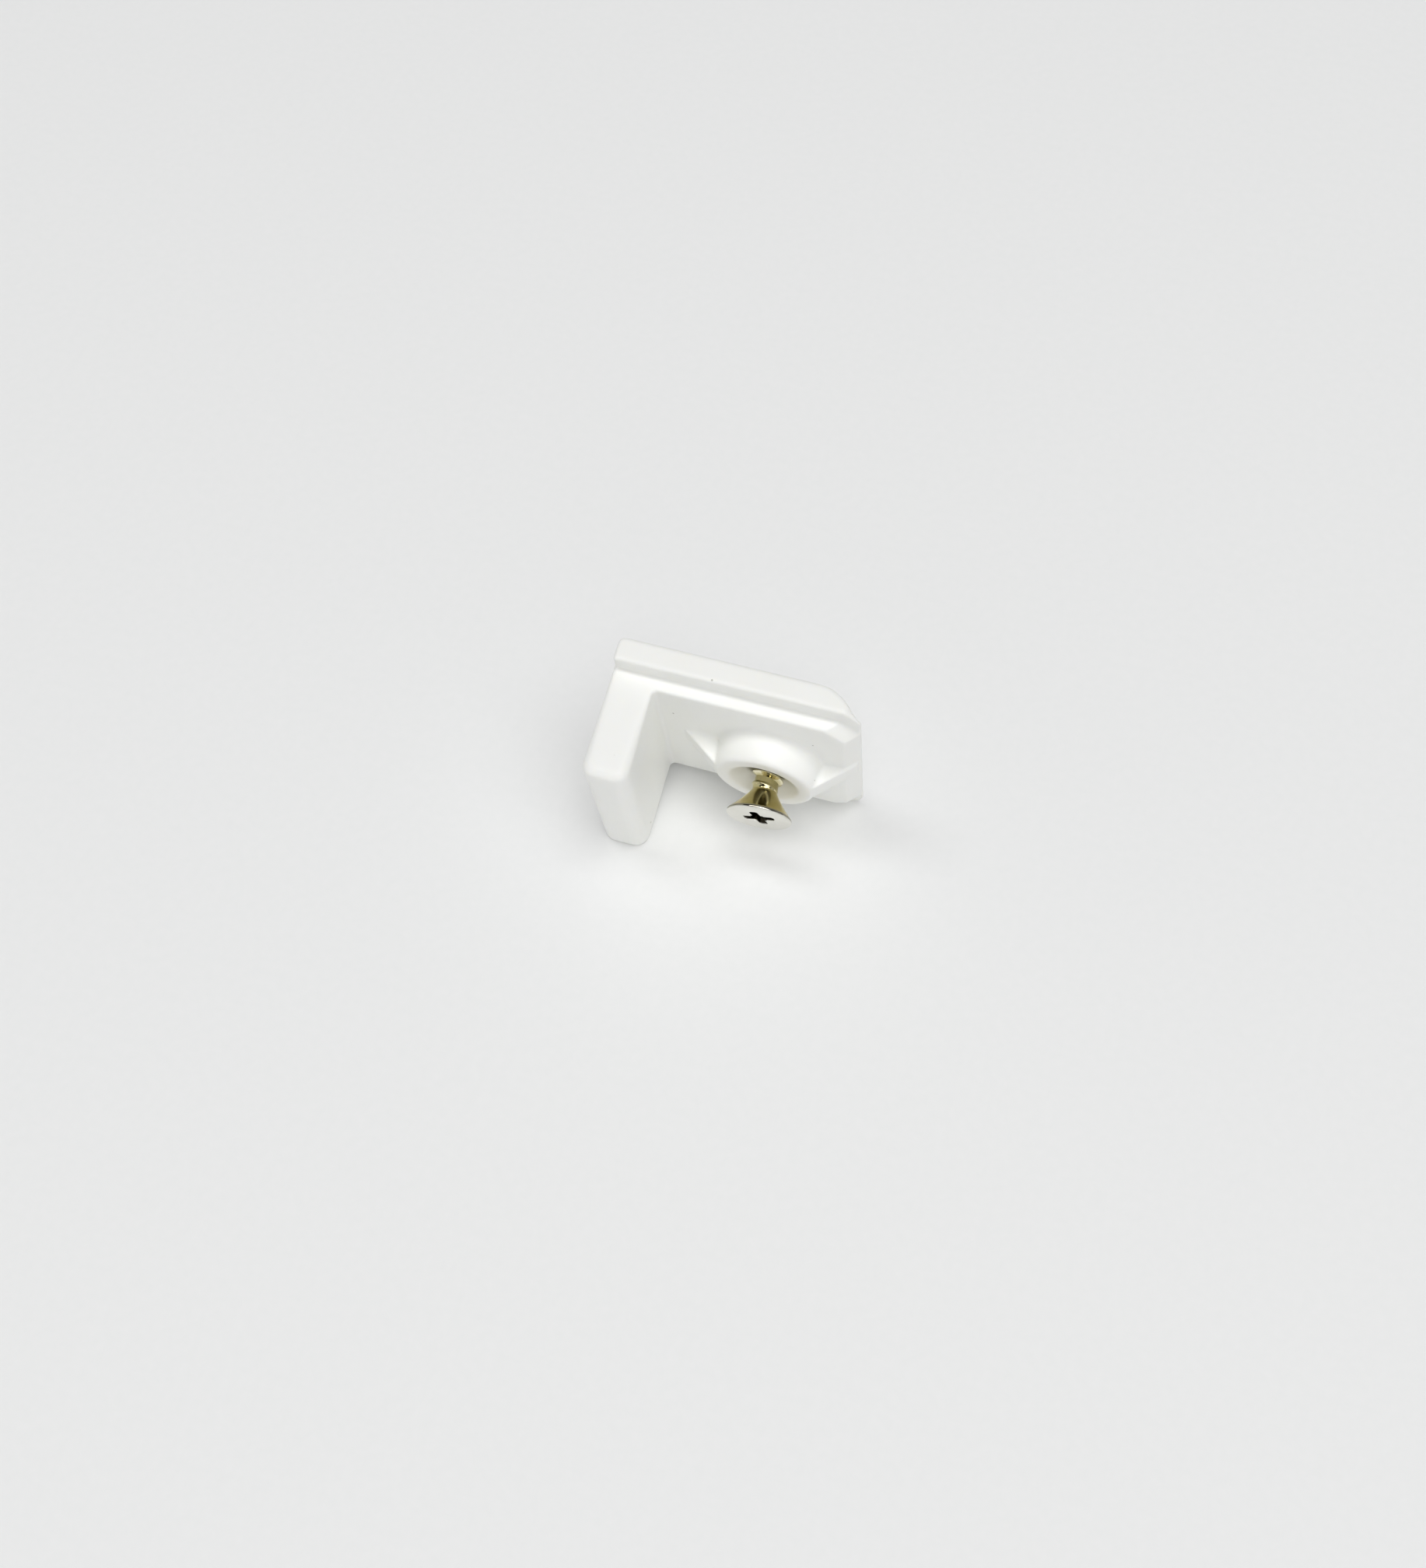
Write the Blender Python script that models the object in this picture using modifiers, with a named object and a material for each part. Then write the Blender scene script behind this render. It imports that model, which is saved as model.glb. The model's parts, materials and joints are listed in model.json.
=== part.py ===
"""Screw-fixed rail end stop.

An L-shaped plastic moulding with a flange that slides into a rail, a countersunk boss between two
gusset ribs, and the self-tapping screw that fixes it. Everything is modelled in the stop's own frame:
+X along the flange to its lead-in nose, +Y out of the flange's back, +Z across the rail. The whole
stop then leans forward about X, because it rests on the flange's lower edge and the foot of its arm.
"""

import math

import bmesh
import bpy
from mathutils import Euler, Vector

MM = 0.001

# Moulding: the web and the arm are HEIGHT tall, and the flange stands FLANGE_STEP past both sides.
LENGTH = 26.4 * MM
HEIGHT = 19.5 * MM
WEB_THICKNESS = 1.5 * MM
FLANGE_THICKNESS = 2.7 * MM
FLANGE_STEP = 2.1 * MM
FLANGE_INSET = 0.1 * MM
FLANGE_EDGE = 0.3 * MM
FLANGE_CORNER = 0.7 * MM
JOIN = 1.0 * MM
MID_HEIGHT = HEIGHT / 2
BACK_FACE = WEB_THICKNESS + FLANGE_THICKNESS

# Arm at the stop's left end, reaching forward of the web's face at Y = 0.
ARM_THICKNESS = 4.7 * MM
ARM_REACH = 10.6 * MM
ARM_FLARE = 0.3 * MM
ARM_CORNER = 1.5 * MM
ARM_END_EDGE = 1.0 * MM
ARM_FOOT_EDGE = 0.4 * MM
EDGE = 0.25 * MM
INNER_FILLET = 0.5 * MM

# Lead-in nose at the right end: the flange thins to a lip while its two ends draw in.
NOSE_RUN = 5.8 * MM
NOSE_LIP = 0.3 * MM
NOSE_SWEEP = 1.64
NOSE_TOP_RUN = 1.7 * MM
NOSE_TOP_SWEEP = 1.2
NOSE_FOOT_RUN = 1.2 * MM
NOSE_FOOT_SWEEP = 2.2
NOSE_DROP = 1.9 * MM
WEB_FACE_END = 25.0 * MM
TOP_CHAMFER_START = 22.85 * MM
TOP_CHAMFER_DROP = 1.95 * MM
FOOT_CHAMFER_START = 23.5 * MM
FOOT_CHAMFER_DROP = 1.1 * MM

# Boss, its hole and the two gusset ribs.
BOSS_X = 16.95 * MM
BOSS_REACH = 3.35 * MM
BOSS_FOOT_RADIUS = 5.75 * MM
BOSS_RADIUS = 5.5 * MM
BOSS_FILLET = 0.7 * MM
BOSS_EDGE = 0.6 * MM
SINK_RADIUS = 3.65 * MM
SINK_EDGE = 0.25 * MM
HOLE_RADIUS = 2.25 * MM
RIB_THICKNESS = 2.5 * MM
LEFT_RIB_TIP = 7.3 * MM
LEFT_RIB_SHOULDER = 11.7 * MM
RIGHT_RIB_SHOULDER = 22.3 * MM
RIB_EDGE = 0.15 * MM

# Screw: a 3.5 mm self-tapping screw, 13 mm long, standing part-way out of its hole.
SCREW_LENGTH = 13.0 * MM
HEAD_FACE = -7.15 * MM
HEAD_RADIUS = 3.5 * MM
HEAD_LAND = 0.3 * MM
HEAD_BEVEL = 0.1 * MM
HEAD_DEPTH = 3.0 * MM
HEAD_HOLLOW = 1.2
NECK_RADIUS = 1.35 * MM
CORE_RADIUS = 1.3 * MM
THREAD_RADIUS = 1.75 * MM
THREAD_PITCH = 1.3 * MM
THREAD_BASE = 0.62 * MM
THREAD_CREST = 0.1 * MM
THREAD_FADE = 0.5 * MM
POINT_LENGTH = 3.2 * MM
POINT_RADIUS = 0.12 * MM
RECESS_REACH = 1.8 * MM
RECESS_WIDTH = 0.75 * MM
RECESS_DEPTH = 1.7 * MM
RECESS_FLOOR_SCALE = 0.45
RECESS_TURN = math.radians(18.0)

# The loose screw hangs over a little in its clearance hole, about a point halfway through the hole.
SCREW_PIVOT = Vector((BOSS_X, BACK_FACE / 4, MID_HEIGHT))
SCREW_DROOP = math.radians(2.5)
SCREW_YAW = math.radians(4.0)

# The resting lean brings the rounded lower edges of the flange and of the arm's foot to one level.
LEAN_RUN = WEB_THICKNESS + FLANGE_EDGE + ARM_REACH - ARM_FOOT_EDGE
LEAN_RISE = FLANGE_STEP - FLANGE_EDGE + ARM_FOOT_EDGE
LEAN = math.atan2(LEAN_RISE, LEAN_RUN) - math.asin(
    (ARM_FOOT_EDGE - FLANGE_EDGE) / math.hypot(LEAN_RISE, LEAN_RUN)
)

ARC_STEPS = 8
ROUND_STEPS = 72
SCREW_STEPS = 36
MERGE_DISTANCE = 1e-7
THINNEST_CORNER = 0.45
SHARPEST_MITRE = 0.3


def clear_scene():
    for obj in list(bpy.data.objects):
        bpy.data.objects.remove(obj, do_unlink=True)


def new_collection(name):
    collection = bpy.data.collections.new(name)
    bpy.context.scene.collection.children.link(collection)
    return collection


def new_material(name, colour, roughness, metallic):
    material = bpy.data.materials.new(name)
    material.use_nodes = True
    shader = material.node_tree.nodes["Principled BSDF"]
    shader.inputs["Base Color"].default_value = (*colour, 1.0)
    shader.inputs["Roughness"].default_value = roughness
    shader.inputs["Metallic"].default_value = metallic
    return material


def arc(centre, radii, start, end, steps=ARC_STEPS):
    """Points of an elliptical arc from start to end degrees, both ends included."""
    points = []
    for k in range(steps + 1):
        angle = math.radians(start + (end - start) * k / steps)
        points.append((centre[0] + radii[0] * math.cos(angle), centre[1] + radii[1] * math.sin(angle)))
    return points


def mesh_object(name, bm, collection):
    bmesh.ops.remove_doubles(bm, verts=bm.verts, dist=MERGE_DISTANCE)
    bmesh.ops.dissolve_degenerate(bm, edges=bm.edges, dist=MERGE_DISTANCE)
    bmesh.ops.recalc_face_normals(bm, faces=bm.faces)
    mesh = bpy.data.meshes.new(name)
    bm.to_mesh(mesh)
    bm.free()
    mesh.shade_smooth()
    obj = bpy.data.objects.new(name, mesh)
    collection.objects.link(obj)
    return obj


def skin_rings(name, rings, collection):
    """A closed solid through rings of equal length, with a flat cap on the first and the last."""
    bm = bmesh.new()
    rows = [[bm.verts.new(point) for point in ring] for ring in rings]
    for low, high in zip(rows, rows[1:]):
        for k in range(len(low)):
            after = (k + 1) % len(low)
            bm.faces.new((low[k], low[after], high[after], high[k]))
    bm.faces.new(list(reversed(rows[0])))
    bm.faces.new(rows[-1])
    return mesh_object(name, bm, collection)


def inset_outline(outline, distances):
    """Each point of a counter-clockwise outline, moved inwards by its own distance."""
    moved = []
    for k, point in enumerate(outline):
        here = Vector(point)
        before = (here - Vector(outline[k - 1])).normalized()
        after = (Vector(outline[(k + 1) % len(outline)]) - here).normalized()
        normals = [Vector((-side.y, side.x)) for side in (before, after)]
        middle = (normals[0] + normals[1]).normalized()
        moved.append(here + middle * distances[k] / max(middle.dot(normals[0]), SHARPEST_MITRE))
    return moved


def rounded_prism(name, outline, low, high, low_edges, high_edges, collection):
    """A Z prism whose bottom and top edges are rounded by each outline point's own radius."""
    rings = []
    for end, side, edges in ((low, 1, low_edges), (high, -1, high_edges)):
        half = []
        for k in range(ARC_STEPS // 2 + 1):
            angle = math.pi / 2 * k / (ARC_STEPS // 2)
            inset = inset_outline(outline, [edge * (1 - math.sin(angle)) for edge in edges])
            rise = [edge * (1 - math.cos(angle)) for edge in edges]
            half.append([(p.x, p.y, end + side * h) for p, h in zip(inset, rise)])
        rings += half if side == 1 else list(reversed(half))
    return skin_rings(name, rings, collection)


def turned(name, profile, centre, collection):
    """A solid turned about the Y axis through centre, from (radius, y) points that start and end on it."""
    mesh = bpy.data.meshes.new(name)
    points = [(radius, y, 0.0) for radius, y in profile]
    mesh.from_pydata(points, [(k, k + 1) for k in range(len(points) - 1)], [])
    obj = bpy.data.objects.new(name, mesh)
    obj.location = (centre[0], 0.0, centre[1])
    collection.objects.link(obj)
    screw = obj.modifiers.new("Turn", "SCREW")
    screw.axis = "Y"
    screw.steps = ROUND_STEPS
    screw.render_steps = ROUND_STEPS
    screw.use_merge_vertices = True
    screw.merge_threshold = MERGE_DISTANCE
    screw.use_normal_calculate = True
    return obj


def combine(target, operand, operation):
    modifier = target.modifiers.new(operation.title() + " " + operand.name, "BOOLEAN")
    modifier.operation = operation
    modifier.solver = "EXACT"
    modifier.object = operand


def web_outline():
    """The L of web and arm from above, counter-clockwise, with each point's lower and upper rounding."""
    back = WEB_THICKNESS + JOIN
    front = -ARM_REACH
    arm_end = arc((ARM_CORNER, front + ARM_CORNER), (ARM_CORNER, ARM_CORNER), 180, 270)
    end_side = ARM_THICKNESS + ARM_FLARE
    arm_end += arc((end_side - ARM_CORNER, front + ARM_CORNER), (ARM_CORNER, ARM_CORNER), 270, 360)
    corner = arc((ARM_THICKNESS + INNER_FILLET, -INNER_FILLET), (INNER_FILLET, INNER_FILLET), 180, 90, 3)
    nose = [(WEB_FACE_END, 0.0), (LENGTH, WEB_THICKNESS), (LENGTH - NOSE_RUN / 2, back)]
    outline = [(0.0, back)] + arm_end + corner + nose
    low_edges = [EDGE] + [ARM_FOOT_EDGE] * len(arm_end) + [EDGE] * (len(corner) + len(nose))
    high_edges = [EDGE] + [ARM_END_EDGE] * len(arm_end) + [EDGE] * (len(corner) + len(nose))
    return outline, low_edges, high_edges


def web_chamfer(name, side, start, drop, collection):
    """A block whose one face is the lead-in chamfer; side is 1 at the web's top, -1 at its bottom."""
    level = MID_HEIGHT + side * HEIGHT / 2
    on_edge = Vector((start, 0.0, level))
    at_flange = Vector((start + WEB_THICKNESS, WEB_THICKNESS, level))
    on_face = Vector((WEB_FACE_END, 0.0, level - side * drop))
    along = (at_flange - on_edge).normalized()
    outward = (on_face - on_edge).cross(along).normalized()
    if outward.z * side < 0:
        outward = -outward
    across = outward.cross(along)
    size = 2 * NOSE_RUN
    rings = []
    for depth in (0.0, size):
        corners = [(-size, -size), (size, -size), (size, size), (-size, size)]
        rings.append([on_edge + along * a + across * b + outward * depth for a, b in corners])
    return skin_rings(name, rings, collection)


def round_off(depth, radius):
    """How far an edge of this radius has drawn in at this depth below the face that it ends."""
    if depth >= radius:
        return 0.0
    return radius - math.sqrt(radius * radius - (radius - depth) ** 2)


def flange_ring(x):
    """The flange's rounded section at x, drawn in at its left end and along its lead-in nose."""
    depth = x - FLANGE_INSET
    ease = round_off(depth, FLANGE_EDGE)
    along = max(0.0, x - (LENGTH - NOSE_RUN)) / NOSE_RUN
    sweep = (1 + math.cos(math.pi * along**NOSE_SWEEP)) / 2
    thickness = NOSE_LIP + (FLANGE_THICKNESS - NOSE_LIP) * sweep
    top_run = max(0.0, x - (LENGTH - NOSE_TOP_RUN)) / NOSE_TOP_RUN
    foot_run = max(0.0, x - (LENGTH - NOSE_FOOT_RUN)) / NOSE_FOOT_RUN
    top = HEIGHT + FLANGE_STEP - ease - NOSE_DROP * top_run**NOSE_TOP_SWEEP
    bottom = -FLANGE_STEP + ease + NOSE_DROP * foot_run**NOSE_FOOT_SWEEP
    back = WEB_THICKNESS + thickness - round_off(depth, FLANGE_CORNER)
    return section_ring(x, WEB_THICKNESS + ease, back, bottom, top)


def section_ring(x, front, back, bottom, top):
    """A rounded rectangle in the YZ plane at x."""
    corner = min(FLANGE_EDGE, (back - front) * THINNEST_CORNER)
    quarters = (
        ((back - corner, top - corner), 0),
        ((front + corner, top - corner), 90),
        ((front + corner, bottom + corner), 180),
        ((back - corner, bottom + corner), 270),
    )
    ring = []
    for centre, start in quarters:
        ring += [(x, y, z) for y, z in arc(centre, (corner, corner), start, start + 90, ARC_STEPS // 2)]
    return ring


def flange(collection):
    stations = []
    for k in range(ARC_STEPS + 1):
        stations.append(FLANGE_INSET + FLANGE_CORNER * (1 - math.cos(math.pi / 2 * k / ARC_STEPS)))
    for k in range(2 * ARC_STEPS + 1):
        stations.append(LENGTH - NOSE_RUN * (1 - k / (2 * ARC_STEPS)))
    return skin_rings("flange", [flange_ring(x) for x in stations], collection)


def boss(collection):
    """The round boss, with a fillet where it leaves the web, a little draft and a soft front rim."""
    foot = arc((BOSS_FOOT_RADIUS + BOSS_FILLET, -BOSS_FILLET), (BOSS_FILLET, BOSS_FILLET), 90, 180)
    rim = arc((BOSS_RADIUS - BOSS_EDGE, -BOSS_REACH + BOSS_EDGE), (BOSS_EDGE, BOSS_EDGE), 0, -90)
    inside = WEB_THICKNESS / 2
    profile = [(0.0, inside), (BOSS_FOOT_RADIUS + BOSS_FILLET, inside)] + foot + rim + [(0.0, -BOSS_REACH)]
    return turned("boss", profile, (BOSS_X, MID_HEIGHT), collection)


def screw_hole(collection):
    """The countersink with its softened mouth, and the clearance hole out of the flange's back."""
    mouth = SINK_RADIUS + SINK_EDGE
    sink = -BOSS_REACH + SINK_EDGE / 2
    profile = [
        (0.0, -BOSS_REACH - JOIN),
        (mouth + JOIN, -BOSS_REACH - JOIN / 2),
        (mouth, -BOSS_REACH),
        (SINK_RADIUS, sink),
        (HOLE_RADIUS, sink + SINK_RADIUS - HOLE_RADIUS),
        (HOLE_RADIUS, BACK_FACE + JOIN),
        (0.0, BACK_FACE + JOIN),
    ]
    return turned("screw_hole", profile, (BOSS_X, MID_HEIGHT), collection)


def rib(name, outline, collection):
    low = MID_HEIGHT - RIB_THICKNESS / 2
    high = MID_HEIGHT + RIB_THICKNESS / 2
    edges = [RIB_EDGE] * len(outline)
    return rounded_prism(name, outline, low, high, edges, edges, collection)


def ribs(collection):
    """Both gussets, each running from the web into the boss and, on the right, out to the nose."""
    front = -BOSS_REACH + EDGE
    inside = WEB_THICKNESS / 2
    overlap = SINK_RADIUS + JOIN / 2
    left = [(LEFT_RIB_TIP, 0.0), (LEFT_RIB_SHOULDER, front), (BOSS_X - overlap, front)]
    left += [(BOSS_X - overlap, inside), (LEFT_RIB_TIP, inside)]
    rise = LENGTH - EDGE - RIGHT_RIB_SHOULDER
    right = [(BOSS_X + overlap, front), (RIGHT_RIB_SHOULDER, front)]
    right += [(RIGHT_RIB_SHOULDER + rise, front + rise), (LENGTH - EDGE, WEB_THICKNESS + EDGE)]
    right += [(BOSS_X + overlap, inside)]
    return rib("left_rib", left, collection), rib("right_rib", right, collection)


def stop_body(parts, cutters):
    outline, low_edges, high_edges = web_outline()
    body = rounded_prism("stop_body", outline, 0.0, HEIGHT, low_edges, high_edges, parts)
    top_chamfer = web_chamfer("top_chamfer", 1, TOP_CHAMFER_START, TOP_CHAMFER_DROP, cutters)
    foot_chamfer = web_chamfer("foot_chamfer", -1, FOOT_CHAMFER_START, FOOT_CHAMFER_DROP, cutters)
    combine(body, top_chamfer, "DIFFERENCE")
    combine(body, foot_chamfer, "DIFFERENCE")
    for piece in (flange(cutters), boss(cutters), *ribs(cutters)):
        combine(body, piece, "UNION")
    combine(body, screw_hole(cutters), "DIFFERENCE")
    body.data.materials.append(new_material("white_moulded_plastic", (0.86, 0.87, 0.86), 0.32, 0.0))
    return body


def screw_ring(radius_at, y_at):
    """One ring about the screw's own axis, from its radius and height at each of its steps."""
    ring = []
    for k in range(SCREW_STEPS):
        angle = 2 * math.pi * k / SCREW_STEPS
        radius = radius_at(k)
        ring.append((radius * math.cos(angle), y_at(k), radius * math.sin(angle)))
    return ring


def thread_height(y, phase):
    """How far the thread stands above the core at y, where phase is 0 on the crest and 0.5 between."""
    fade_in = min(1.0, max(0.0, (y - HEAD_DEPTH) / THREAD_FADE))
    fade_out = min(1.0, max(0.0, (SCREW_LENGTH - y) / POINT_LENGTH))
    flank = (THREAD_BASE - abs(phase) * THREAD_PITCH) / (THREAD_BASE - THREAD_CREST)
    return (THREAD_RADIUS - CORE_RADIUS) * fade_in * math.sqrt(fade_out) * min(1.0, max(0.0, flank))


def core_radius(y):
    along = min(1.0, max(0.0, (SCREW_LENGTH - y) / POINT_LENGTH))
    return POINT_RADIUS + (CORE_RADIUS - POINT_RADIUS) * along


def shank_rings():
    """Rings that climb with the thread, so each crest and root is an edge, held flat at both ends."""
    rings = []
    for turn in range(-1, int(SCREW_LENGTH / THREAD_PITCH) + 2):
        for offset in (-THREAD_BASE, -THREAD_CREST, THREAD_CREST, THREAD_BASE):

            def height(k):
                y = HEAD_DEPTH + (turn + k / SCREW_STEPS) * THREAD_PITCH + offset
                return min(SCREW_LENGTH, max(HEAD_DEPTH, y))

            def radius(k):
                place = (height(k) - HEAD_DEPTH) / THREAD_PITCH - k / SCREW_STEPS
                return core_radius(height(k)) + thread_height(height(k), place - round(place))

            rings.append(screw_ring(radius, height))
    return rings


def head_rings():
    """The flat face, the land and the hollow cone that runs down to the neck."""
    profile = [(HEAD_RADIUS - HEAD_BEVEL, 0.0), (HEAD_RADIUS, HEAD_BEVEL), (HEAD_RADIUS, HEAD_LAND)]
    for k in range(1, ARC_STEPS):
        along = k / ARC_STEPS
        flare = (HEAD_RADIUS - NECK_RADIUS) * (1 - along) ** HEAD_HOLLOW
        profile.append((NECK_RADIUS + flare, HEAD_LAND + (HEAD_DEPTH - HEAD_LAND) * along))
    return [screw_ring(lambda k: radius, lambda k: y) for radius, y in profile]


def recess_wing(name, turn, collection):
    """One tapered bar of the cross recess, narrower and shorter towards its floor."""
    rings = []
    for depth, scale in ((-RECESS_DEPTH, 2 - RECESS_FLOOR_SCALE), (RECESS_DEPTH, RECESS_FLOOR_SCALE)):
        reach = RECESS_REACH * scale
        width = RECESS_WIDTH / 2 * (1 + scale) / 2
        ring = []
        for along, across in ((-reach, -width), (reach, -width), (reach, width), (-reach, width)):
            x = along * math.cos(turn) - across * math.sin(turn)
            z = along * math.sin(turn) + across * math.cos(turn)
            ring.append((x, depth, z))
        rings.append(ring)
    return skin_rings(name, rings, collection)


def fixing_screw(parts, cutters):
    """The screw about its own Y axis from its head's face, then hung over in its hole with its recess."""
    screw = skin_rings("fixing_screw", head_rings() + shank_rings(), parts)
    for k in range(2):
        wing = recess_wing(f"recess_wing_{k}", RECESS_TURN + k * math.pi / 2, cutters)
        wing.parent = screw
        combine(screw, wing, "DIFFERENCE")
    screw.data.materials.append(new_material("bright_plated_steel", (0.82, 0.78, 0.66), 0.22, 1.0))
    turn = Euler((SCREW_DROOP, 0.0, SCREW_YAW))
    screw.rotation_euler = turn
    screw.location = SCREW_PIVOT - turn.to_matrix() @ Vector((0.0, SCREW_PIVOT.y - HEAD_FACE, 0.0))
    return screw


def set_at_rest(objects, parts):
    """Leans the stop on its lower edges and centres its foot print on the origin."""
    rest = bpy.data.objects.new("rest_pose", None)
    parts.objects.link(rest)
    rest.rotation_euler = (LEAN, 0.0, 0.0)
    for obj in (o for o in objects if o.parent is None):
        obj.parent = rest
    bpy.context.view_layer.update()
    graph = bpy.context.evaluated_depsgraph_get()
    corners = []
    for obj in (o for o in objects if o.name in parts.objects):
        shape = obj.evaluated_get(graph)
        corners += [shape.matrix_world @ vertex.co for vertex in shape.data.vertices]
    low = Vector([min(c[k] for c in corners) for k in range(3)])
    high = Vector([max(c[k] for c in corners) for k in range(3)])
    rest.location = (-(low.x + high.x) / 2, -(low.y + high.y) / 2, -low.z)


def main():
    clear_scene()
    parts = new_collection("rail_end_stop")
    cutters = new_collection("cutters")
    cutters.hide_render = True
    body = stop_body(parts, cutters)
    screw = fixing_screw(parts, cutters)
    for cutter in cutters.objects:
        cutter.hide_render = True
        cutter.display_type = "WIRE"
    set_at_rest([body, screw, *cutters.objects], parts)


main()
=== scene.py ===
"""Looks of the screw-fixed rail end stop: a white moulding and its plated self-tapping screw."""

import json
import math

import bmesh
import bpy
from mathutils import Matrix, Vector


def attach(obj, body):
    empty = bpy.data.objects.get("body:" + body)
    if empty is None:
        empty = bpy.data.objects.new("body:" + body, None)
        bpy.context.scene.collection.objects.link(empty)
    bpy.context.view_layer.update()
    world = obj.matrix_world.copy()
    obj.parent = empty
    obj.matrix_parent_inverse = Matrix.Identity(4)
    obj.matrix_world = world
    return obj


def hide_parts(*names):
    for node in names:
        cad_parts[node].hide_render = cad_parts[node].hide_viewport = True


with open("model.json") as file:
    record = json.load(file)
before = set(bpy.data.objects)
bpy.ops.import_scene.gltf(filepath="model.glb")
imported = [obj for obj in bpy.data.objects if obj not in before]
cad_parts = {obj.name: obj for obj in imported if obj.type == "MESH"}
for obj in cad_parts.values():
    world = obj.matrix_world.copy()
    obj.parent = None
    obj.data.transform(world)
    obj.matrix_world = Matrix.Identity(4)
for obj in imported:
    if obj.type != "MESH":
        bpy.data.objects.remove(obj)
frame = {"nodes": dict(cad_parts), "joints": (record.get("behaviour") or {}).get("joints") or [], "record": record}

MM = 0.001

# Camera: the point on the floor that it looks at, and its distance and angles in degrees from there.
AIM = Vector((-3.58 * MM, 4.23 * MM, 0.0))
CAMERA_DISTANCE = 220.38 * MM
CAMERA_AZIMUTH = 20.06
CAMERA_ELEVATION = 58.60
CAMERA_ROLL = -3.19
LENS = 49.66
SENSOR_WIDTH = 36.0
CLIP_START = 0.01
CLIP_END = 50.0

# From here to the colours, lengths are in millimetres. Corners closer than this are joined.
MERGE = 1e-4

# Moulding surface: a fine even skin over the CAD solid, with its sharp edges softened.
SKIN_STEP = 0.17
SKIN_PASSES = 2
SKIN_SMOOTHING = 0.5

# Hole: its axis from the moulding's lowest corner, and the depths and radii over which painted
# shade darkens its bore.
HOLE_PLACE = (16.95, 10.6, 11.85)
BORE_START = (-1.9, -1.4)
BORE_EDGE = (2.42, 2.32)

# Screw, from the face of its head. Its length and its place come from the CAD screw.
HEAD_RADIUS = 3.5
HEAD_LAND = 0.3
HEAD_BEVEL = 0.12
HEAD_DEPTH = 3.0
HEAD_HOLLOW = 1.2
NECK_RADIUS = 1.35
CORE_RADIUS = 1.3
THREAD_RADIUS = 1.75
THREAD_PITCH = 1.3
THREAD_BASE = 0.36
THREAD_CREST = 0.05
THREAD_HOLLOW = 1.15
THREAD_FADE = 1.5
POINT_LENGTH = 3.2
POINT_RADIUS = 0.12

# Cross recess: its arms, the core where they cross, and its turn in degrees. The corners' nip is a share
# of half the width, and the floors are shares of the shapes at the screw's face.
RECESS_REACH = 1.8
RECESS_WIDTH = 0.95
RECESS_DEPTH = 1.7
RECESS_NIP = 0.45
RECESS_CORE = 1.0
RECESS_TURN = 18.0
BAR_FLOOR = 0.45
CORE_FLOOR = 0.55

# Fineness of the screw. A turn of thread has one row for each of these places along its pitch.
SCREW_STEPS = 96
CONE_ROWS = 20
BEVEL_ROWS = 5
THREAD_ROWS = (
    -0.65, -0.5, -0.42, -0.36, -0.28, -0.18, -0.1, -0.05,
    0.05, 0.1, 0.18, 0.28, 0.36, 0.42, 0.5,
)
SHARP_ANGLE = 35.0

# Where the plating's colour changes, as fades from one depth or radius to another.
FACE_TO_CONE = (0.12, 0.36)
# The rim's land, darkened as a painted dark reflection.
RIM_START = (0.08, 0.14)
RIM_END = (0.4, 0.34)
CONE_TO_SHANK = (2.8, 3.1)
ROOT_TO_CREST = (1.4, 1.65)
# The cross recess, darkened as painted shade.
RECESS_EDGE = (2.1, 1.95)
RECESS_START = (0.02, 0.12)
RECESS_END = (1.9, 1.75)

# Colours: the darker and the lighter shade where there are two.
PLASTIC_SHADES = ((0.935, 0.94, 0.9), (0.955, 0.96, 0.93))
SPECK_COLOUR = (0.42, 0.40, 0.34)
# Painted shade inside the hole's bore.
BORE_SHADE_COLOUR = (0.42, 0.39, 0.27)
FACE_SHADES = ((0.69, 0.68, 0.62), (0.76, 0.75, 0.70))
CONE_SHADES = ((0.56, 0.47, 0.17), (0.70, 0.60, 0.28))
CREST_SHADES = ((0.72, 0.67, 0.47), (0.84, 0.80, 0.62))
ROOT_COLOUR = (0.60, 0.54, 0.30)
# Painted dark reflection on the land of the head's rim.
DARK_RIM_REFLECTION_COLOUR = (0.30, 0.28, 0.22)
# Painted shade in the cross recess.
RECESS_SHADE_COLOUR = (0.035, 0.03, 0.02)
FLOOR_SHADES = ((0.915, 0.922, 0.919), (0.93, 0.934, 0.932))

# Stage, in metres and degrees: the floor's half side, and each light's azimuth, elevation, distance,
# size and radiance.
FLOOR_REACH = 2.0
CEILING_STRIP = (270.0, 81.0, 1.8, (0.42, 1.68), 5.3)
FRONT_KEY = (45.0, 66.0, 2.0, (1.7, 1.4), 2.7)

# Room light: the two heights (Z), or depths (Y), of a direction between which it changes, and how
# bright it is at each. The two are multiplied. The camera itself sees an even backdrop.
WALL_TO_CEILING = (0.45, 0.68, 1.0, 0.05)
FRONT_TO_BACK = (-0.6, 0.4, 0.6, 0.35)
BACKDROP = 0.82


def stop_lean():
    """How far the stop leans forward about X, read from the mount on its back face."""
    back = next(m for m in frame["record"]["mounts"] if m["name"] == "flange_back")
    axis = Vector(back["axis"])
    return math.atan2(axis.z, axis.y)


LEAN = stop_lean()
TO_STOP = Matrix.Rotation(-LEAN, 4, "X")
TO_ROW = Matrix.Rotation(LEAN, 4, "X")


# ---------------------------------------------------------------- materials


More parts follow.
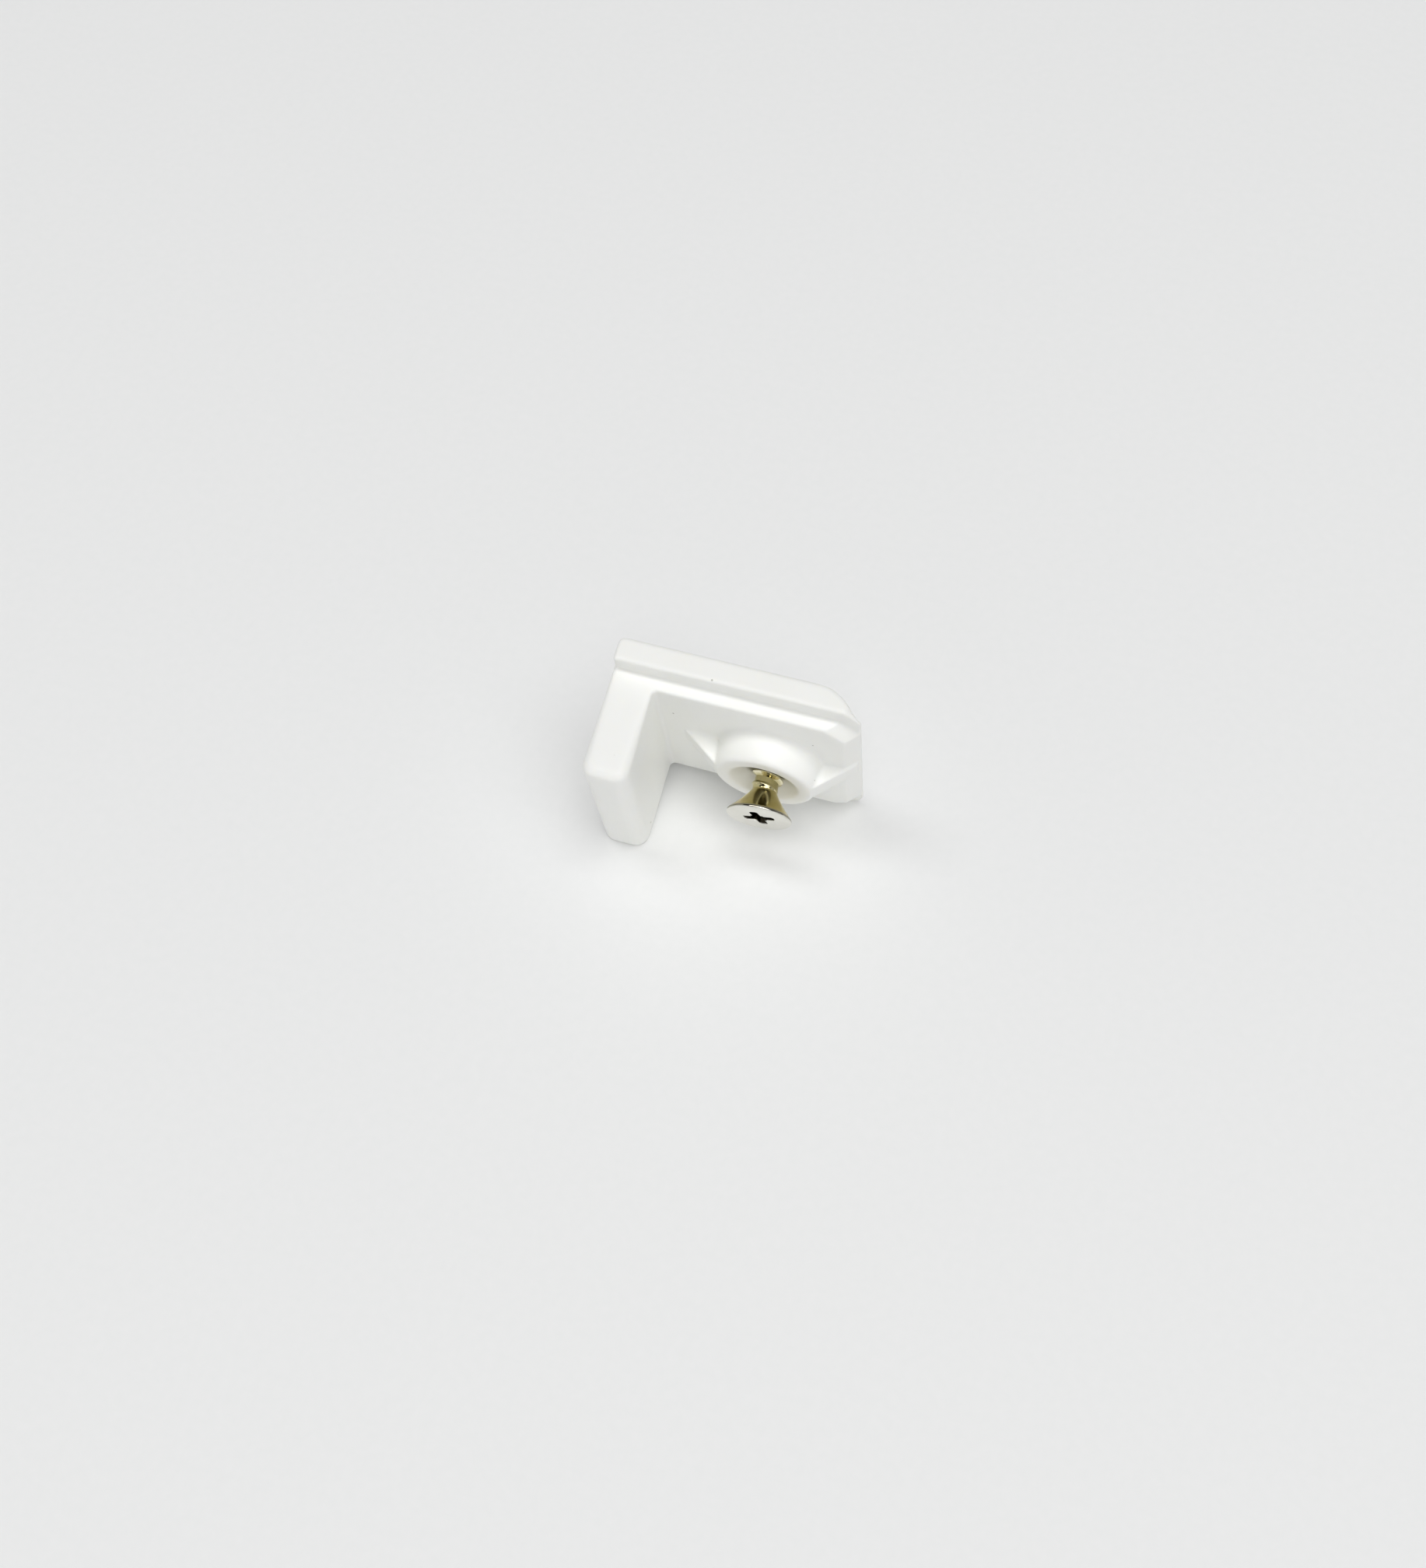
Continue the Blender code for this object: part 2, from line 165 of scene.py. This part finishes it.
def new_material(name):
    """A node material with its Principled shader, and functions that add and link nodes."""
    material = bpy.data.materials.new(name)
    material.use_nodes = True
    tree = material.node_tree
    shader = tree.nodes["Principled BSDF"]

    def add(kind, settings=(), **inputs):
        node = tree.nodes.new(kind)
        for key, value in dict(settings).items():
            setattr(node, key, value)
        for key, value in inputs.items():
            socket = node.inputs[key.replace("_", " ")]
            if isinstance(value, bpy.types.NodeSocket):
                tree.links.new(value, socket)
            else:
                socket.default_value = value
        return node

    return material, shader, add, tree.links.new


def ramp(add, source, stops):
    """A colour ramp through (position, colour or grey) stops."""
    node = add("ShaderNodeValToRGB", Fac=source)
    elements = node.color_ramp.elements
    while len(elements) < len(stops):
        elements.new(0.5)
    for element, (position, colour) in zip(elements, stops):
        element.position = position
        element.color = (*colour, 1.0) if isinstance(colour, tuple) else (colour, colour, colour, 1.0)
    return node.outputs["Color"]


def shades(add, source, pair):
    """A noise coloured from the first shade of the pair, where it is low, to the second."""
    return ramp(add, source, [(0.3, pair[0]), (0.7, pair[1])])


def blend(add, amount, first, second):
    """Mixes two colours; amount, first and second are sockets or values."""
    node = add("ShaderNodeMix", {"data_type": "RGBA"})
    tree = node.id_data
    for name, value in (("Factor", amount), ("A", first), ("B", second)):
        socket = next(s for s in node.inputs if s.name == name and s.enabled)
        if isinstance(value, bpy.types.NodeSocket):
            tree.links.new(value, socket)
        else:
            socket.default_value = (*value, 1.0)
    return next(s for s in node.outputs if s.enabled)


def times(add, link, first, *others):
    """The product of the sockets."""
    for other in others:
        node = add("ShaderNodeMath", {"operation": "MULTIPLY"})
        link(first, node.inputs[0])
        link(other, node.inputs[1])
        first = node.outputs["Value"]
    return first


def fade(add, source, ends):
    """0 before the first end and 1 past the second, in millimetres; the first may be the larger."""
    node = add("ShaderNodeMapRange", Value=source)
    node.inputs["From Min"].default_value = ends[0] * MM
    node.inputs["From Max"].default_value = ends[1] * MM
    return node.outputs["Result"]


def own_place(add, to_row):
    """Object coordinates in a piece's own axes, whose matrix to the row is given."""
    node = add("ShaderNodeMapping", Vector=add("ShaderNodeTexCoord").outputs["Object"])
    node.inputs["Location"].default_value = to_row.inverted().to_translation()
    node.inputs["Rotation"].default_value = to_row.inverted().to_euler("XYZ")
    return node.outputs["Vector"]


def depth_and_radius(add, link, place):
    """How far along the piece's own Y axis a place is, and how far from it."""
    depth = add("ShaderNodeSeparateXYZ", Vector=place).outputs["Y"]
    flat = add("ShaderNodeVectorMath", {"operation": "MULTIPLY"})
    link(place, flat.inputs[0])
    flat.inputs[1].default_value = (1.0, 0.0, 1.0)
    length = add("ShaderNodeVectorMath", {"operation": "LENGTH"})
    link(flat.outputs["Vector"], length.inputs[0])
    return depth, length.outputs["Value"]


def specks(add, link, place):
    """A few small dots, far apart."""
    dots = add("ShaderNodeTexVoronoi", Vector=place, Scale=520.0)
    spot = ramp(add, dots.outputs["Distance"], [(0.035, 1.0), (0.075, 0.0)])
    rarely = ramp(add, dots.outputs["Color"], [(0.80, 0.0), (0.84, 1.0)])
    return times(add, link, spot, rarely)


def white_plastic(to_row):
    """Warm white moulded plastic: soft clouding, a few specks, painted shade in the bore and a satin skin."""
    material, shader, add, link = new_material("white_moulded_plastic")
    place = own_place(add, to_row)
    depth, radius = depth_and_radius(add, link, place)
    cloud = add("ShaderNodeTexNoise", Vector=place, Scale=130.0, Detail=3.0, Roughness=0.55)
    fine = add("ShaderNodeTexNoise", Vector=place, Scale=2600.0, Detail=3.0, Roughness=0.6)
    tint = shades(add, cloud.outputs["Fac"], PLASTIC_SHADES)
    tint = blend(add, specks(add, link, place), tint, SPECK_COLOUR)
    # Painted shade: the hole's bore is darkened.
    bore = times(add, link, fade(add, radius, BORE_EDGE), fade(add, depth, BORE_START))
    link(blend(add, bore, tint, BORE_SHADE_COLOUR), shader.inputs["Base Color"])
    satin = ramp(add, cloud.outputs["Fac"], [(0.25, 0.34), (0.75, 0.46)])
    link(satin, shader.inputs["Roughness"])
    ripple = add("ShaderNodeBump", Height=cloud.outputs["Fac"], Strength=0.25, Distance=0.12 * MM)
    bump = add("ShaderNodeBump", Height=fine.outputs["Fac"], Strength=0.08, Distance=0.06 * MM)
    link(ripple.outputs["Normal"], bump.inputs["Normal"])
    link(bump.outputs["Normal"], shader.inputs["Normal"])
    shader.inputs["IOR"].default_value = 1.49
    shader.inputs["Specular IOR Level"].default_value = 0.4
    shader.inputs["Subsurface Weight"].default_value = 0.2
    shader.inputs["Subsurface Radius"].default_value = (1.0, 0.9, 0.7)
    shader.inputs["Subsurface Scale"].default_value = 0.5 * MM
    return material


def plated_steel(to_row):
    """Bright plating: pale on the face and the thread's worn crest, olive on the cone and the roots; the rim's
    land is darkened as a painted dark reflection, and the cross recess as painted shade.
    """
    material, shader, add, link = new_material("bright_plated_steel")
    place = own_place(add, to_row)
    depth, radius = depth_and_radius(add, link, place)
    cloud = add("ShaderNodeTexNoise", Vector=place, Scale=420.0, Detail=3.0, Roughness=0.6)
    fine = add("ShaderNodeTexNoise", Vector=place, Scale=5200.0, Detail=2.0, Roughness=0.6)
    face, cone, crest = (shades(add, cloud.outputs["Fac"], pair)
                         for pair in (FACE_SHADES, CONE_SHADES, CREST_SHADES))
    tint = blend(add, fade(add, depth, FACE_TO_CONE), face, cone)
    # Painted reflection: the land is darkened so that it shows dark beside the lamp's highlight.
    rim = times(add, link, fade(add, depth, RIM_START), fade(add, depth, RIM_END))
    tint = blend(add, rim, tint, DARK_RIM_REFLECTION_COLOUR)
    shank = blend(add, fade(add, radius, ROOT_TO_CREST), ROOT_COLOUR, crest)
    tint = blend(add, fade(add, depth, CONE_TO_SHANK), tint, shank)
    # Painted shade: the cross recess is darkened nearly to black.
    recess_shade = times(add, link, fade(add, radius, RECESS_EDGE), fade(add, depth, RECESS_START),
                   fade(add, depth, RECESS_END))
    link(blend(add, recess_shade, tint, RECESS_SHADE_COLOUR), shader.inputs["Base Color"])
    gloss = ramp(add, cloud.outputs["Fac"], [(0.3, 0.05), (0.75, 0.12)])
    link(gloss, shader.inputs["Roughness"])
    bump = add("ShaderNodeBump", Height=fine.outputs["Fac"], Strength=0.08, Distance=0.03 * MM)
    link(bump.outputs["Normal"], shader.inputs["Normal"])
    shader.inputs["Metallic"].default_value = 1.0
    return material


def pale_floor():
    """Plain matt pale surface with a faint grain."""
    material, shader, add, link = new_material("pale_floor")
    place = add("ShaderNodeTexCoord").outputs["Object"]
    grain = add("ShaderNodeTexNoise", Vector=place, Scale=900.0, Detail=3.0, Roughness=0.6)
    link(shades(add, grain.outputs["Fac"], FLOOR_SHADES), shader.inputs["Base Color"])
    shader.inputs["Roughness"].default_value = 0.75
    shader.inputs["Specular IOR Level"].default_value = 0.3
    return material


# ---------------------------------------------------------------- pieces


def linked_object(name, mesh):
    """A new object in the scene."""
    obj = bpy.data.objects.new(name, mesh)
    bpy.context.scene.collection.objects.link(obj)
    return obj


def evaluated_mesh(obj):
    """The object's mesh with its modifiers applied."""
    graph = bpy.context.evaluated_depsgraph_get()
    return bpy.data.meshes.new_from_object(obj.evaluated_get(graph), depsgraph=graph)


def merged(mesh):
    """Joins the mesh's coincident corners."""
    bm = bmesh.new()
    bm.from_mesh(mesh)
    bmesh.ops.remove_doubles(bm, verts=bm.verts, dist=MERGE)
    bmesh.ops.dissolve_degenerate(bm, edges=bm.edges, dist=MERGE)
    bmesh.ops.recalc_face_normals(bm, faces=bm.faces)
    bm.to_mesh(mesh)
    bm.free()
    return mesh


def place_piece(name, mesh, material, body, node):
    """Gives the mesh its material, and puts it in the frame in the place of a CAD node."""
    mesh.materials.clear()
    mesh.materials.append(material)
    obj = linked_object(name, mesh)
    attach(obj, body)
    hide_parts(node)


def hole_place():
    """The matrix from the hole's own axes (Y along it, towards the flange) to the row."""
    corners = [TO_STOP @ vertex.co for vertex in frame["nodes"]["stop_body"].data.vertices]
    low = [min(corner[k] for corner in corners) for k in range(3)]
    hole = [corner + offset * MM for corner, offset in zip(low, HOLE_PLACE)]
    return TO_ROW @ Matrix.Translation(hole)


def moulding():
    """The CAD moulding under a fine even skin, so that every edge is softly rounded."""
    mesh = frame["nodes"]["stop_body"].data.copy()
    mesh.transform(Matrix.Scale(1 / MM, 4) @ TO_STOP)
    rough = linked_object("rough_moulding", merged(mesh))
    remesh = rough.modifiers.new("Skin", "REMESH")
    remesh.mode = "VOXEL"
    remesh.voxel_size = SKIN_STEP
    smooth = rough.modifiers.new("Soften", "SMOOTH")
    smooth.factor = SKIN_SMOOTHING
    smooth.iterations = SKIN_PASSES
    skin = evaluated_mesh(rough)
    bpy.data.objects.remove(rough)
    skin.transform(TO_ROW @ Matrix.Scale(MM, 4))
    skin.shade_smooth()
    place_piece("end_stop_moulding", skin, white_plastic(hole_place()), "stop", "stop_body")


def screw_place():
    """The screw's length in millimetres, and the matrix from its axes (Y down the shank) to the row."""
    axis = Vector(frame["joints"][0]["axis"]).normalized()
    corners = [vertex.co.copy() for vertex in frame["nodes"]["fixing_screw"].data.vertices]
    depths = [corner.dot(axis) for corner in corners]
    tip_start = max(depths) - POINT_RADIUS * MM / 100
    tip_ring = [corner for corner, depth in zip(corners, depths) if depth > tip_start]
    tip = sum(tip_ring, Vector()) / len(tip_ring)
    length = max(depths) - min(depths)
    across = axis.cross(TO_ROW.to_3x3() @ Vector((0.0, 0.0, 1.0))).normalized()
    turn = Matrix((across, axis, across.cross(axis))).transposed().to_4x4()
    return length / MM, Matrix.Translation(tip - axis * length) @ turn


def fraction(value):
    """The value kept between 0 and 1."""
    return min(1.0, max(0.0, value))


def head_profile():
    """(radius, depth) down the head: the rounded rim, the land and the hollow cone."""
    profile = []
    for k in range(BEVEL_ROWS + 1):
        angle = math.pi / 2 * k / BEVEL_ROWS
        inset = HEAD_BEVEL * (1 - math.sin(angle))
        profile.append((HEAD_RADIUS - inset, HEAD_BEVEL * (1 - math.cos(angle))))
    # A narrow chamfer joins the land to the cone.
    profile.append((HEAD_RADIUS, HEAD_LAND - HEAD_BEVEL / 2))
    cone_radius = HEAD_RADIUS - HEAD_BEVEL / 4
    for k in range(CONE_ROWS + 1):
        along = k / CONE_ROWS
        flare = (cone_radius - NECK_RADIUS) * (1 - along) ** HEAD_HOLLOW
        profile.append((NECK_RADIUS + flare, HEAD_LAND + (HEAD_DEPTH - HEAD_LAND) * along))
    return profile


def shank_radius(y, phase, length):
    """Radius of core and thread at y; phase is the distance from the crest in turns."""
    left = fraction((length - y) / POINT_LENGTH)
    started = fraction((y - HEAD_DEPTH) / THREAD_FADE)
    core = POINT_RADIUS + (CORE_RADIUS - POINT_RADIUS) * left
    core += (NECK_RADIUS - CORE_RADIUS) * (1 - started)
    flank = fraction((THREAD_BASE - abs(phase) * THREAD_PITCH) / (THREAD_BASE - THREAD_CREST))
    return core + (THREAD_RADIUS - CORE_RADIUS) * started * math.sqrt(left) * flank**THREAD_HOLLOW


def ring(radius, y):
    """The points of a circle about the screw's axis."""
    angles = [2 * math.pi * k / SCREW_STEPS for k in range(SCREW_STEPS)]
    return [(radius * math.cos(a), y, radius * math.sin(a)) for a in angles]


def thread_row(start, length):
    """One row that climbs with the thread from start, held flat where the shank begins and ends."""
    row = []
    for k in range(SCREW_STEPS):
        y = min(length, max(HEAD_DEPTH, start + THREAD_PITCH * k / SCREW_STEPS))
        turns = (y - HEAD_DEPTH) / THREAD_PITCH - k / SCREW_STEPS
        radius = shank_radius(y, turns - round(turns), length)
        angle = 2 * math.pi * k / SCREW_STEPS
        row.append((radius * math.cos(angle), y, radius * math.sin(angle)))
    return row


def screw_mesh(length):
    """The screw's closed skin: rings down the head, then rows that follow the thread."""
    bm = bmesh.new()
    rings = [[bm.verts.new(p) for p in ring(radius, y)] for radius, y in head_profile()]
    bm.faces.new(rings[0])
    for low, high in zip(rings, rings[1:]):
        for k in range(SCREW_STEPS):
            after = (k + 1) % SCREW_STEPS
            bm.faces.new((low[k], high[k], high[after], low[after]))
    per_turn = len(THREAD_ROWS)
    starts = []
    for turn in range(-1, math.ceil((length - HEAD_DEPTH) / THREAD_PITCH) + 2):
        starts += [HEAD_DEPTH + turn * THREAD_PITCH + offset for offset in THREAD_ROWS]
    rows = [[bm.verts.new(p) for p in thread_row(start, length)] for start in starts]
    # After a whole turn, each row goes on into the row that starts one pitch further on.
    for r in range(len(rows) - per_turn - 1):
        for k in range(SCREW_STEPS):
            last = k == SCREW_STEPS - 1
            low = rows[r + per_turn][0] if last else rows[r][k + 1]
            high = rows[r + 1 + per_turn][0] if last else rows[r + 1][k + 1]
            bm.faces.new((rows[r][k], rows[r + 1][k], high, low))
    bm.faces.new([bm.verts.new(p) for p in reversed(ring(POINT_RADIUS, length))])
    mesh = bpy.data.meshes.new("screw_skin")
    bm.to_mesh(mesh)
    bm.free()
    return merged(mesh)


def tapered_prism(name, outline, floor_scale):
    """A cutter with the outline's size at the screw's face, which narrows to the recess floor."""
    bm = bmesh.new()
    rows = []
    for depth, scale in ((-RECESS_DEPTH / 2, (3 - floor_scale) / 2), (RECESS_DEPTH, floor_scale)):
        rows.append([bm.verts.new((x * scale, depth, z * scale)) for x, z in outline])
    for k in range(len(outline)):
        after = (k + 1) % len(outline)
        bm.faces.new((rows[0][k], rows[0][after], rows[1][after], rows[1][k]))
    bm.faces.new(rows[0])
    bm.faces.new(rows[1])
    bmesh.ops.recalc_face_normals(bm, faces=bm.faces)
    mesh = bpy.data.meshes.new(name)
    bm.to_mesh(mesh)
    bm.free()
    return linked_object(name, mesh)


def recess_cutters():
    """Two crossing bars with softened corners, and the square core that a driver's point fills."""
    half = RECESS_WIDTH / 2
    nip = half * RECESS_NIP
    end = [(RECESS_REACH - nip, -half), (RECESS_REACH, -half + nip)]
    end += [(RECESS_REACH, half - nip), (RECESS_REACH - nip, half)]
    bar = end + [(-x, -z) for x, z in end]
    core = [(RECESS_CORE, 0.0), (0.0, RECESS_CORE), (-RECESS_CORE, 0.0), (0.0, -RECESS_CORE)]
    shapes = ((bar, BAR_FLOOR, 0.0), (bar, BAR_FLOOR, 90.0), (core, CORE_FLOOR, 45.0))
    cutters = []
    for k, (outline, floor_scale, angle) in enumerate(shapes):
        cutter = tapered_prism(f"recess_{k}", outline, floor_scale)
        cutter.data.transform(Matrix.Rotation(math.radians(-RECESS_TURN - angle), 4, "Y"))
        cutters.append(cutter)
    return cutters


def screw():
    """A finer screw in the place of the CAD one, with its thread, rounded rim and cross recess."""
    length, to_row = screw_place()
    rough = linked_object("rough_screw", screw_mesh(length))
    cutters = recess_cutters()
    for cutter in cutters:
        cut = rough.modifiers.new("Recess", "BOOLEAN")
        cut.operation = "DIFFERENCE"
        cut.solver = "EXACT"
        cut.object = cutter
    mesh = evaluated_mesh(rough)
    for extra in (rough, *cutters):
        bpy.data.objects.remove(extra)
    mesh.transform(to_row @ Matrix.Scale(MM, 4))
    mesh.shade_smooth()
    mesh.set_sharp_from_angle(angle=math.radians(SHARP_ANGLE))
    place_piece("cross_recess_screw", mesh, plated_steel(to_row), "screw", "fixing_screw")


# ---------------------------------------------------------------- stage


def floor():
    """The flat surface that the stop lies on."""
    bm = bmesh.new()
    bmesh.ops.create_grid(bm, x_segments=1, y_segments=1, size=FLOOR_REACH)
    mesh = bpy.data.meshes.new("floor")
    bm.to_mesh(mesh)
    bm.free()
    mesh.materials.append(pale_floor())
    linked_object("floor", mesh)


def outward(azimuth, elevation):
    """The direction from the stop towards a light or the camera, from angles in degrees."""
    a = math.radians(azimuth)
    e = math.radians(elevation)
    return Vector((math.sin(a) * math.cos(e), -math.cos(a) * math.cos(e), math.sin(e)))


def panel_light(name, azimuth, elevation, distance, size, radiance):
    """A soft rectangular light that faces the stop; size is across and along."""
    data = bpy.data.lights.new(name, "AREA")
    data.shape = "RECTANGLE"
    data.size, data.size_y = size
    data.energy = radiance * math.pi * size[0] * size[1]
    obj = bpy.data.objects.new(name, data)
    back = outward(azimuth, elevation)
    obj.location = back * distance
    obj.rotation_euler = (-back).to_track_quat("-Z", "Y").to_euler()
    bpy.context.scene.collection.objects.link(obj)


def surroundings():
    """A pale room, brighter in front, under a dark ceiling; what the camera sees of it stays pale."""
    world = bpy.data.worlds.new("studio")
    world.use_nodes = True
    tree = world.node_tree
    background = tree.nodes["Background"]
    place = tree.nodes.new("ShaderNodeTexCoord")
    split = tree.nodes.new("ShaderNodeSeparateXYZ")
    tree.links.new(place.outputs["Generated"], split.inputs["Vector"])
    product = tree.nodes.new("ShaderNodeMath")
    product.operation = "MULTIPLY"
    for k, (axis, stops) in enumerate((("Z", WALL_TO_CEILING), ("Y", FRONT_TO_BACK))):
        shade = tree.nodes.new("ShaderNodeMapRange")
        tree.links.new(split.outputs[axis], shade.inputs["Value"])
        for name, value in zip(("From Min", "From Max", "To Min", "To Max"), stops):
            shade.inputs[name].default_value = value
        tree.links.new(shade.outputs["Result"], product.inputs[k])
    path = tree.nodes.new("ShaderNodeLightPath")
    choose = tree.nodes.new("ShaderNodeMix")
    # Inputs 0, 2 and 3 of this float mix are its factor, A and B.
    tree.links.new(path.outputs["Is Camera Ray"], choose.inputs[0])
    tree.links.new(product.outputs["Value"], choose.inputs[2])
    choose.inputs[3].default_value = BACKDROP
    tree.links.new(choose.outputs[0], background.inputs["Color"])
    background.inputs["Strength"].default_value = 1.0
    bpy.context.scene.world = world


def camera():
    """The camera, which looks at AIM from its distance, azimuth and elevation."""
    data = bpy.data.cameras.new("camera")
    data.sensor_fit = "HORIZONTAL"
    data.sensor_width = SENSOR_WIDTH
    data.lens = LENS
    data.clip_start = CLIP_START
    data.clip_end = CLIP_END
    obj = bpy.data.objects.new("camera", data)
    back = outward(CAMERA_AZIMUTH, CAMERA_ELEVATION)
    obj.location = AIM + back * CAMERA_DISTANCE
    turn = (-back).to_track_quat("-Z", "Y").to_matrix().to_4x4()
    obj.rotation_euler = (turn @ Matrix.Rotation(math.radians(CAMERA_ROLL), 4, "Z")).to_euler()
    bpy.context.scene.collection.objects.link(obj)
    bpy.context.scene.camera = obj


def main():
    """Builds everything."""
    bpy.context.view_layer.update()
    moulding()
    screw()
    floor()
    panel_light("ceiling_strip", *CEILING_STRIP)
    panel_light("front_key", *FRONT_KEY)
    surroundings()
    camera()
    bpy.context.scene.view_settings.view_transform = "Standard"


main()
